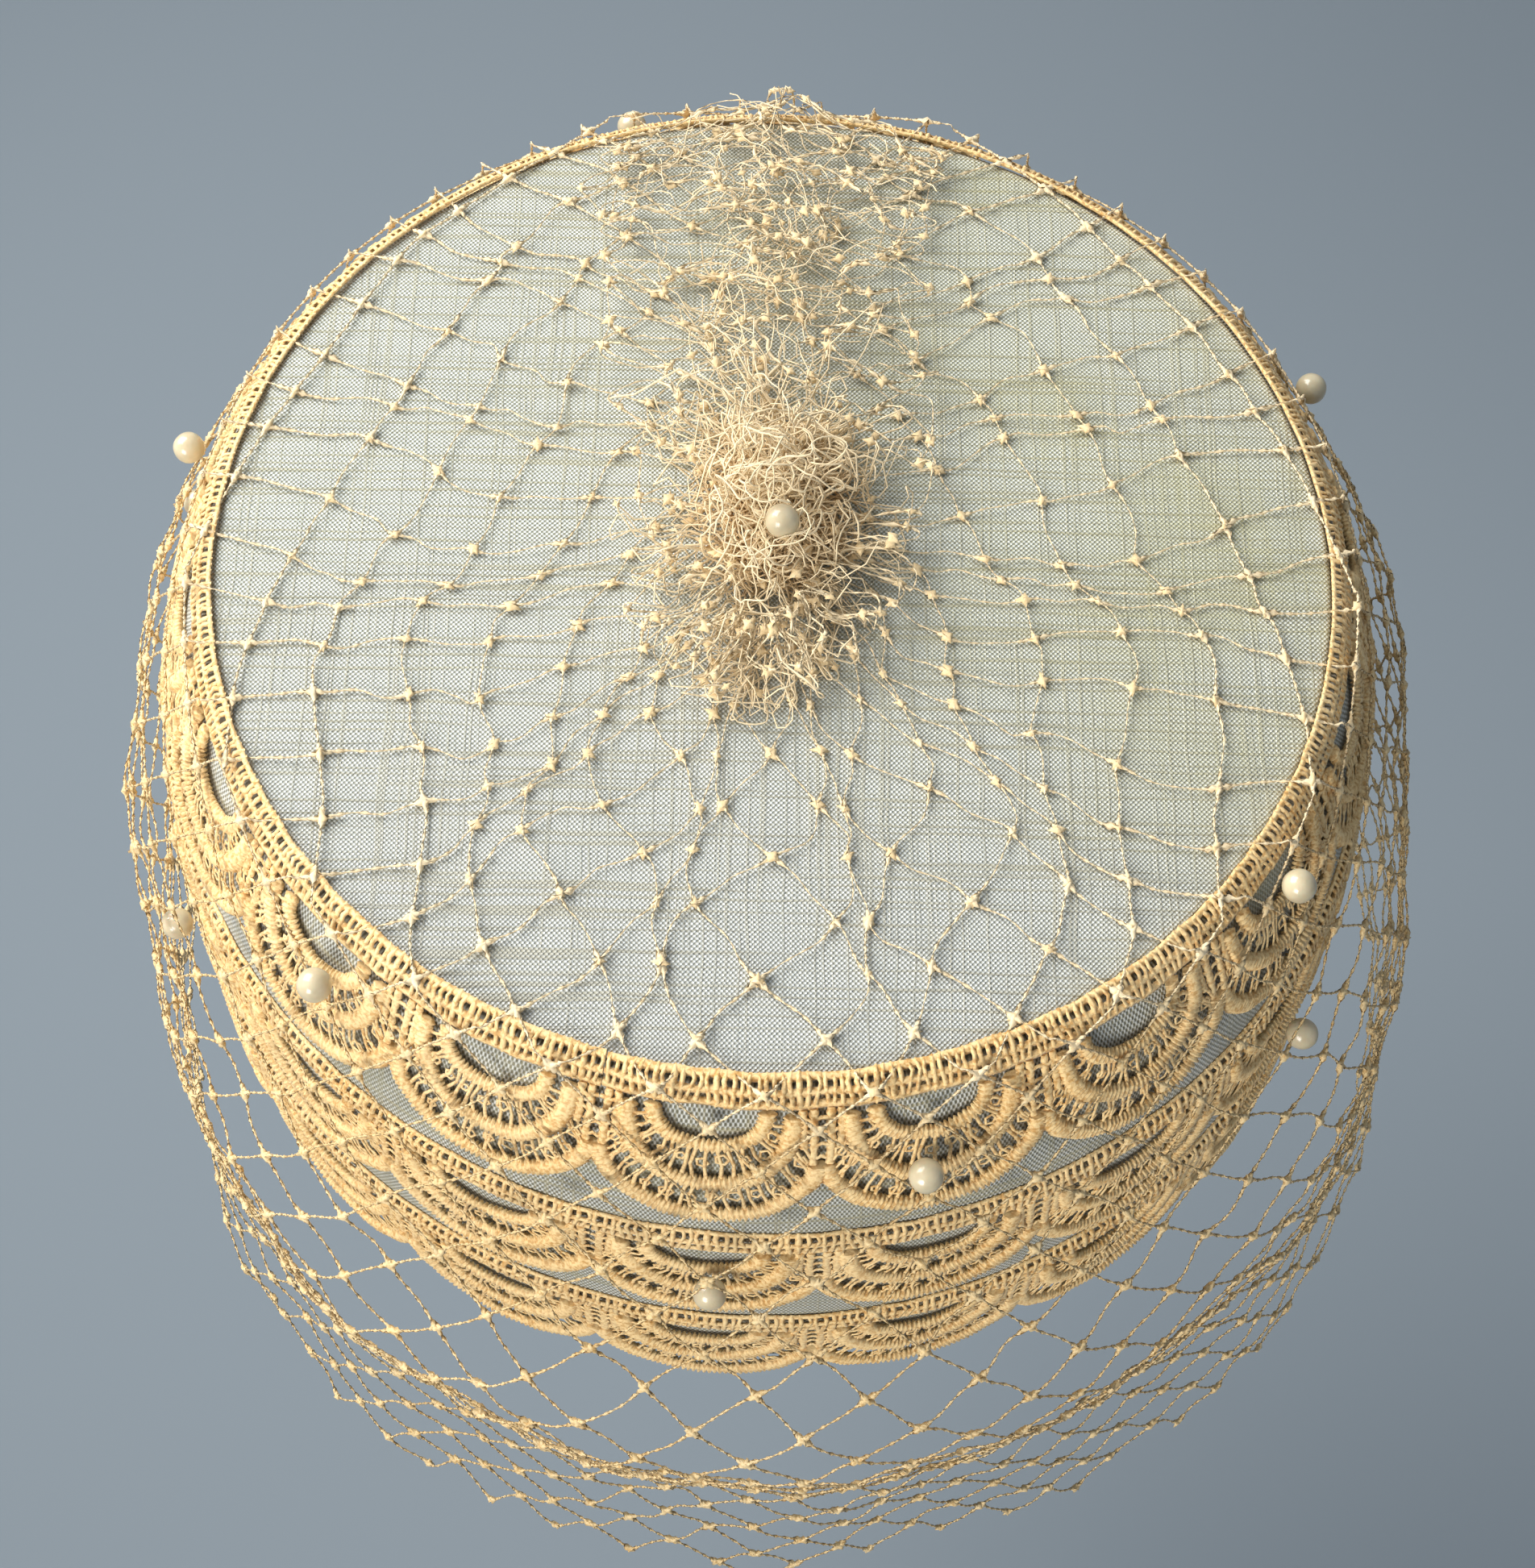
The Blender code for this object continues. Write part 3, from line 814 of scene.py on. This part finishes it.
def gather_place(turn):
    """Where the strip's top edge is drawn in: round the middle in front, along the middle line behind."""
    back_share = min(1.0, abs(turn) / HALF_TURN)
    along = GATHER_FRONT + (RIM_RADIUS - GATHER_FRONT) * back_share ** 2.2
    return Vector((0.009 * sin(turn) * (1.0 - back_share), along, 0.0))


def crown_place(turn, inward):
    """A point of the net over the crown, at a distance inward from the crown's edge."""
    pleat = PLEAT_DEPTH * sin(12.0 * turn + 1.1 * sin(3.0 * turn)) * min(1.0, inward / 0.030)
    rim = Vector((RIM_RADIUS * sin(turn + pleat), -RIM_RADIUS * cos(turn + pleat), 0.0))
    drawn = gather_place(turn)
    way = drawn - rim
    length = max(0.004, way.length)
    way = way / length
    back_share = min(1.0, abs(turn) / HALF_TURN)
    if inward <= length:
        spot = rim + way * inward
        near = max(0.0, 1.0 - (length - inward) / 0.016)
        lift = NET_LIFT + 0.0042 * near ** 2
    else:
        spare = inward - length
        width = 0.012 + 0.018 * back_share ** 1.5
        fold = width * (0.5 - 0.5 * cos(pi * spare / width))
        across = Vector((1.0 if turn > 0.0 else -1.0, -0.45, 0.0)).normalized()
        spot = drawn + (-way).lerp(across, back_share ** 2) * fold
        lift = NET_LIFT + (1.0 - 0.6 * back_share) * (0.0034 + 0.0036 * sin(2.2 * spare / width) ** 2)
    wrinkle = noise.noise_vector((spot.x * 150.0, spot.y * 150.0, inward * 60.0))
    drift = noise.noise_vector((spot.x * 42.0, spot.y * 42.0, 3.0))
    crowd = SLACK_WRINKLE if inward > length else TAUT_WRINKLE
    inner = min(1.0, inward / 0.020)
    shift = Vector((wrinkle.x, wrinkle.y, 0.0)) * crowd * inner
    shift += Vector((drift.x, drift.y, 0.0)) * CROWN_DRIFT * inner
    spot += shift
    dome = CROWN_DOME * max(0.0, 1.0 - (spot.length / CROWN_RADIUS) ** 2)
    return Vector((spot.x, spot.y, CROWN_TOP - CROWN_DOME + dome + lift + abs(wrinkle.z) * crowd * 0.5))


def drape(flat_x, flat_y):
    """Where a point of the flat net hangs or lies, and its turn, or None outside its cut."""
    if flat_y > 0.0:
        return None
    turn = atan2(flat_x, -flat_y) / CONE_SHARE
    run = hypot(flat_x, flat_y) - FLAT_RIM
    if abs(turn) > HALF_TURN + END_OVERLAP or run > VEIL_DROP or run < -CROWN_RUN:
        return None
    if run < 0.0:
        return crown_place(turn, -run * CROWN_STRETCH), turn
    spot = skirt_place(turn, run)
    loose = min(1.0, run / 0.03)
    ripple = noise.noise_vector(spot * 130.0) * 0.0011 + noise.noise_vector(spot * 38.0) * 0.0020
    return spot + ripple * loose, turn


def net_thread(name, painted_light):
    """Twisted cream thread: painted paler over the crown as painted light, and painted darker tan deep in the
    bunch as painted shade.
    """
    wiring = Wiring(name, NET_LIGHT, 0.6)
    x, y, z = wiring.place()
    fibres = wiring.speckle(x, y, z, (2200.0, 2200.0, 2200.0), 1.0)
    patches = wiring.ramp(wiring.speckle(x, y, z, (55.0, 55.0, 55.0), 2.0), 0.35, 0.7)
    colour = wiring.blend(wiring.ramp(fibres, 0.28, 0.58), NET_DARK, NET_LIGHT)
    colour = wiring.blend(wiring.times(patches, 0.35), colour, NET_WORN)
    # Painted light: the higher the thread lies, the paler it is painted.
    high = wiring.ramp(z, CROWN_TOP - 0.012, CROWN_TOP + 0.001)
    colour = wiring.blend(wiring.times(high, 0.60), colour, painted_light)
    # Painted shade: low down near the bunch's middle, the thread is painted darker tan.
    along = wiring.math("SUBTRACT", y, 0.004)
    apart = wiring.total(wiring.times(x, x), wiring.times(along, along))
    deep_shade = wiring.times(wiring.ramp(apart, 0.00026, 0.00002), wiring.ramp(z, CROWN_TOP + 0.009, CROWN_TOP))
    colour = wiring.blend(wiring.times(deep_shade, 0.65), colour, NET_DEEP_SHADE)
    wiring.feed(wiring.shader.inputs["Base Color"], colour)
    wiring.bump(fibres, 0.00008, 0.7)
    wiring.shader.inputs["Sheen Weight"].default_value = 0.1
    wiring.shader.inputs["Specular IOR Level"].default_value = 0.4
    return wiring.material


def strand_profile():
    """The cross-section of two plies side by side, as a flat diamond."""
    profile = bpy.data.curves.new("ply_pair", "CURVE")
    profile.dimensions = "2D"
    ring = profile.splines.new("POLY")
    ring.points.add(3)
    for point, (x, y) in zip(ring.points, ((1.25, 0.0), (0.0, 0.72), (-1.25, 0.0), (0.0, -0.72))):
        point.co = (x, y, 0.0, 1.0)
    ring.use_cyclic_u = True
    holder = bpy.data.objects.new("ply_pair", profile)
    bpy.context.scene.collection.objects.link(holder)
    return holder


def whole_meshes(samples):
    """A strand's samples from its first knot to its last, cut in two where it passes the front."""
    while samples and samples[0][1] % STEPS_A_SIDE:
        samples.pop(0)
    while samples and samples[-1][1] % STEPS_A_SIDE:
        samples.pop()
    if len(samples) < 2:
        return
    start = 0
    for number in range(1, len(samples)):
        if samples[number][2] * samples[number - 1][2] <= 0.0 and abs(samples[number][2]) < 1.0:
            yield samples[start:number + 1]
            start = number
    if len(samples) - start > 1:
        yield samples[start:]


def strand_lines(across_sign):
    """The net's strands of one direction: for each half of the veil, lists of (place, step, turn)."""
    ahead = Vector((MESH_HALF_ACROSS, across_sign * MESH_HALF_DOWN))
    aside = Vector((MESH_HALF_ACROSS, -across_sign * MESH_HALF_DOWN))
    origin = Vector((0.0, -FLAT_RIM))
    reach = int((FLAT_RIM + VEIL_DROP) / MESH_HALF_DOWN)
    halves = {"left": [], "right": []}
    for line in range(-reach, reach + 1):
        samples = []
        for step in range(-reach * STEPS_A_SIDE, reach * STEPS_A_SIDE + 2):
            flat = origin + aside * line + ahead * (step / STEPS_A_SIDE)
            found = drape(flat.x, flat.y)
            if found:
                samples.append((found[0], step, found[1]))
                continue
            for strand in whole_meshes(samples):
                middle = strand[len(strand) // 2]
                halves["right" if middle[2] > 0.0 else "left"].append(strand)
            samples = []
    return halves


def net_half(name, strands, profile, material):
    """The strands of one half of the veil as one mesh."""
    curve = bpy.data.curves.new(name, "CURVE")
    curve.dimensions = "3D"
    curve.bevel_mode = "OBJECT"
    curve.bevel_object = profile
    curve.use_fill_caps = True
    for strand in strands:
        radii = []
        for place, step, _ in strand:
            share = step / STEPS_A_SIDE
            near = abs(share - round(share)) * hypot(MESH_HALF_ACROSS, MESH_HALF_DOWN)
            on_crown = place.z > CROWN_TOP
            thickness, swell = (CROWN_STRAND, CROWN_SWELL) if on_crown else (SKIRT_STRAND, SKIRT_SWELL)
            radii.append(thickness * (1.0 + swell * exp(-(near / KNOT_REACH) ** 2)))
        add_thread(curve, [place for place, _, _ in strand], radii)
        turns = np.array([step for _, step, _ in strand], "f") * TWIST_A_STEP
        curve.splines[-1].points.foreach_set("tilt", turns)
    mesh = mesh_from(curve)
    mesh.name = name
    return add_piece(name, mesh, material)


def net_knots(name, strands, material):
    """The knots at the crossings: small flat stars of thread, each turned its own way."""
    chance = Random(31)
    lump = bmesh.new()
    bmesh.ops.create_uvsphere(lump, u_segments=8, v_segments=4, radius=1.0)
    bmesh.ops.triangulate(lump, faces=lump.faces)
    outline = np.array([corner.co for corner in lump.verts])
    faces = np.array([[corner.index for corner in face.verts] for face in lump.faces])
    lump.free()
    around = np.arctan2(outline[:, 1], outline[:, 0])
    even_star = 1.0 + KNOT_STAR * np.cos(4.0 * around) * np.hypot(outline[:, 0], outline[:, 1]) ** 2
    corners, loops = [], []
    for strand in strands:
        for spot, step, _ in strand:
            if step % STEPS_A_SIDE:
                continue
            away = Vector((0.0, 0.0, 1.0)) if spot.z > CROWN_TOP else Vector((spot.x, spot.y, 0.04))
            turn = away.to_track_quat("Z", "Y").to_matrix() @ Matrix.Rotation(chance.uniform(0, tau), 3, "Z")
            turn = turn @ Matrix.Rotation(chance.uniform(-KNOT_TILT, KNOT_TILT), 3, "X")
            size = KNOT_SIZE * chance.uniform(0.70, 1.20)
            star = even_star + KNOT_RAGGED * np.sin(outline @ KNOT_WAVES + chance.uniform(0, tau))
            lump_corners = (outline * star[:, None] * size) @ np.array(turn).T + np.array(spot)
            loops.append(faces + len(corners) * len(outline))
            corners.append(lump_corners)
    mesh = bpy.data.meshes.new(name)
    mesh.from_pydata(np.concatenate(corners).tolist(), [], np.concatenate(loops).tolist())
    mesh.shade_smooth()
    return add_piece(name, mesh, material)


net_cream = net_thread("net_thread", NET_PAINTED_LIGHT)
knot_cream = net_thread("knot_thread", KNOT_PAINTED_LIGHT)
ply_pair = strand_profile()
falling = strand_lines(-1.0)
rising = strand_lines(1.0)
for half in ("left", "right"):
    strands = net_half(f"veil_{half}", falling[half] + rising[half], ply_pair, net_cream)
    knots = net_knots(f"veil_knots_{half}", falling[half], knot_cream)
    for piece in (strands, knots):
        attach(piece, "root")
        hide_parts("veil")
bpy.data.objects.remove(ply_pair)


# The bunch of net at the crown's middle.
# The net's top edge, drawn up with a thread and fluffed out into curled loops round the pearl.
_, gather_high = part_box("veil_gather")
BUNCH_MIDDLE = Vector((0.0, 0.0045, 0.0))
BUNCH_HALF_ACROSS = 0.0092
BUNCH_HALF_ALONG = 0.0165
BUNCH_BASE = CROWN_TOP + 0.0012
BUNCH_HEIGHT = gather_high.z - BUNCH_BASE
INNER_CURLS = 330
CURL_POINTS = 14
CURL_RADIUS = 0.00013
BUNCH_KNOTS = 150
RIDGE_THREAD = 0.00030
RIDGE_START = 0.016
RIDGE_RUN = 0.062
RIDGE_LEAN = 0.0045
RIDGE_TOP = CROWN_TOP + 0.0065
RIDGE_POINTS = 90
CRIMP = 0.0020
CRIMP_GRAIN = 270.0
CLEAR_OF_PEARL = 0.0021
pearl_low, pearl_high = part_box("pearl_centre")
PEARL_MIDDLE = (pearl_low + pearl_high) / 2.0
PEARL_FACES = Vector((0.0, -0.55, 0.84)).normalized()

# The groups of loops that stand out of the bunch. Columns: how many, the middle and the half spread of
# their roots along the hat, the middle and the half spread of their heading, their shortest and longest
# reach, their steepest rise, and how far they stray. The heading is 90 degrees towards the back.
LOOP_GROUPS = (
    (130, 0.0040, 0.0110, radians(0.0), radians(180.0), 0.0030, 0.0110, 0.90, 0.0100),
    (36, 0.0040, 0.0130, radians(0.0), radians(60.0), 0.0070, 0.0190, 0.35, 0.0120),
    (36, 0.0040, 0.0130, radians(180.0), radians(60.0), 0.0070, 0.0190, 0.35, 0.0120),
    (60, 0.0160, 0.0080, radians(90.0), radians(110.0), 0.0050, 0.0160, 0.60, 0.0140),
    (56, -0.0180, 0.0080, radians(-90.0), radians(140.0), 0.0030, 0.0100, 0.25, 0.0120),
)

# The tangle along the ridge. Columns: how many threads, where along the ridge they start and end as
# shares of its run, and the half width they spread over at the start and at the end.
RIDGE_GROUPS = (
    (50, 0.05, 0.50, 0.0090, 0.0160),
    (70, 0.40, 1.00, 0.0150, 0.0250),
)


def crimped(spot, phase):
    """A place on a thread shifted by its crimp, and kept between the crown and the bunch's top."""
    spot = spot + noise.noise_vector(spot * CRIMP_GRAIN + Vector((phase, 0.0, 0.0))) * CRIMP
    spot.z = min(max(spot.z, BUNCH_BASE - 0.0004), gather_high.z + 0.001)
    return spot


def hides_pearl(points):
    """Whether a thread would lie over the pearl, which faces up and forward on the bunch's top."""
    for spot in points:
        apart = spot - PEARL_MIDDLE
        if apart.dot(PEARL_FACES) > 0.0 and apart.cross(PEARL_FACES).length < CLEAR_OF_PEARL:
            return True
    return False


def add_curl(curve, points, radius):
    """One thread of the bunch, if it leaves the pearl in sight, and whether it was added."""
    if hides_pearl(points):
        return False
    add_thread(curve, points, [radius] * len(points))
    return True


def any_way(chance):
    """A random vector."""
    return Vector((chance.uniform(-1, 1), chance.uniform(-1, 1), chance.uniform(-1, 1)))


def inner_curls(curve, chance):
    """Short arcs of thread, curled every way through the middle of the bunch."""
    for _ in range(INNER_CURLS):
        turn = chance.uniform(0.0, tau)
        rise = asin(chance.uniform(0.0, 1.0))
        share = 0.1 + chance.uniform(0.8, 1.2) * chance.random() ** 0.8
        outward = Vector((cos(rise) * cos(turn), cos(rise) * sin(turn), sin(rise)))
        start = BUNCH_MIDDLE + Vector((0.0, 0.0, BUNCH_BASE))
        start.x += share * BUNCH_HALF_ACROSS * outward.x
        start.y += share * BUNCH_HALF_ALONG * outward.y
        start.z += share * BUNCH_HEIGHT * outward.z ** 1.2
        along = outward.cross(any_way(chance)).normalized()
        bulge = (outward + along.cross(outward) * chance.uniform(-0.8, 0.8)).normalized()
        reach = chance.uniform(0.0018, 0.0056)
        height = chance.uniform(0.0010, 0.0050)
        phase = chance.uniform(0.0, 40.0)
        points = []
        for step in range(CURL_POINTS):
            angle = 1.35 * pi * (step / (CURL_POINTS - 1) - 0.5)
            spot = start + along * reach * sin(angle)
            spot += bulge * height * (cos(angle) - 0.4)
            points.append(crimped(spot, phase))
        add_curl(curve, points, CURL_RADIUS * chance.uniform(0.85, 1.3))


def outer_loops(curve, chance):
    """Loops of thread that stand out of the bunch, and places along them for knots."""
    places = []
    for count, middle, spread, heading, fan, shortest, longest, steepest, straying in LOOP_GROUPS:
        for _ in range(count):
            turn = heading + fan * chance.uniform(-1.0, 1.0)
            rise = asin(steepest * chance.random())
            way = Vector((cos(rise) * cos(turn), cos(rise) * sin(turn), sin(rise)))
            root = Vector((0.0035 * way.x, middle + spread * chance.uniform(-1.0, 1.0), BUNCH_BASE + 0.0015))
            reach = shortest + (longest - shortest) * chance.random() ** 1.6
            side = way.cross(any_way(chance)).normalized()
            width = chance.uniform(0.0006, 0.0028)
            droop = chance.uniform(0.0, 0.004)
            phase = chance.uniform(0.0, 40.0)
            stray = Vector((phase, 2.0 * phase, 0.0))
            points = []
            for step in range(CURL_POINTS):
                share = step / (CURL_POINTS - 1)
                out = sin(pi * share)
                spot = root + way * reach * out + side * width * sin(tau * share)
                spot.z -= droop * out * out
                spot += noise.noise_vector(spot * 110.0 + stray) * straying * out
                points.append(crimped(spot, phase))
            if add_curl(curve, points, CURL_RADIUS * chance.uniform(0.8, 1.2)):
                places.append(points[chance.randrange(3, CURL_POINTS - 3)])
    return places


def ridge_tangle(curve, chance):
    """The slack net along the drawn-in line from the bunch to the back edge, and places for its knots."""
    places = []
    for count, first, last, narrow, wide in RIDGE_GROUPS:
        for _ in range(count):
            share = chance.random()
            along = RIDGE_START + RIDGE_RUN * (first + (last - first) * share)
            half = narrow + (wide - narrow) * share
            beside = half * chance.uniform(-1.0, 1.0) * chance.uniform(0.3, 1.0)
            height = BUNCH_BASE + 0.0004 + chance.random() ** 2 * 0.0048 * (1.0 - abs(beside) / half)
            start = Vector((beside - RIDGE_LEAN * share, along, height))
            heading = chance.uniform(0.0, tau)
            way = Vector((cos(heading), sin(heading), chance.uniform(-0.15, 0.15)))
            side = way.cross(Vector((0.0, 0.0, 1.0))).normalized()
            reach = chance.uniform(0.004, 0.009)
            bend = chance.uniform(-0.0035, 0.0035)
            phase = chance.uniform(0.0, 40.0)
            points = []
            for step in range(CURL_POINTS):
                part = 2.0 * step / (CURL_POINTS - 1) - 1.0
                spot = start + way * reach * part + side * bend * (1.0 - part * part)
                spot += noise.noise_vector(spot * 120.0) * 0.0022
                spot = crimped(spot, phase)
                spot.z = min(spot.z, RIDGE_TOP)
                points.append(spot)
            add_thread(curve, points, [CURL_RADIUS * chance.uniform(0.7, 0.95)] * CURL_POINTS)
            places.append(points[CURL_POINTS // 2])
    return places


def ridge_thread(curve):
    """The thread that draws the net together along the line from the bunch to the back edge."""
    points = []
    for step in range(RIDGE_POINTS):
        share = step / (RIDGE_POINTS - 1)
        sway = 0.0011 * sin(31.0 * share) + 0.0006 * sin(83.0 * share)
        height = CROWN_TOP + 0.0013 + 0.0009 * abs(sin(47.0 * share))
        points.append(Vector((-RIDGE_LEAN * share + sway, RIDGE_START + RIDGE_RUN * share, height)))
    add_thread(curve, points, [RIDGE_THREAD] * RIDGE_POINTS)


def bunch_net():
    """The bunch's threads as one mesh, and the places of its knots."""
    chance = Random(17)
    curve = thread_curve("bunch", 4)
    inner_curls(curve, chance)
    places = outer_loops(curve, chance) + ridge_tangle(curve, chance)
    ridge_thread(curve)
    piece = add_piece("gathered_net", mesh_from(curve), net_cream)
    chance.shuffle(places)
    return piece, places[:BUNCH_KNOTS]


gathered_net, knot_places = bunch_net()
bunch_knots = net_knots("gathered_knots", [[(place, 0, 0.0)] for place in knot_places], knot_cream)
for piece in (gathered_net, bunch_knots):
    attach(piece, "root")
    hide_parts("veil_gather")
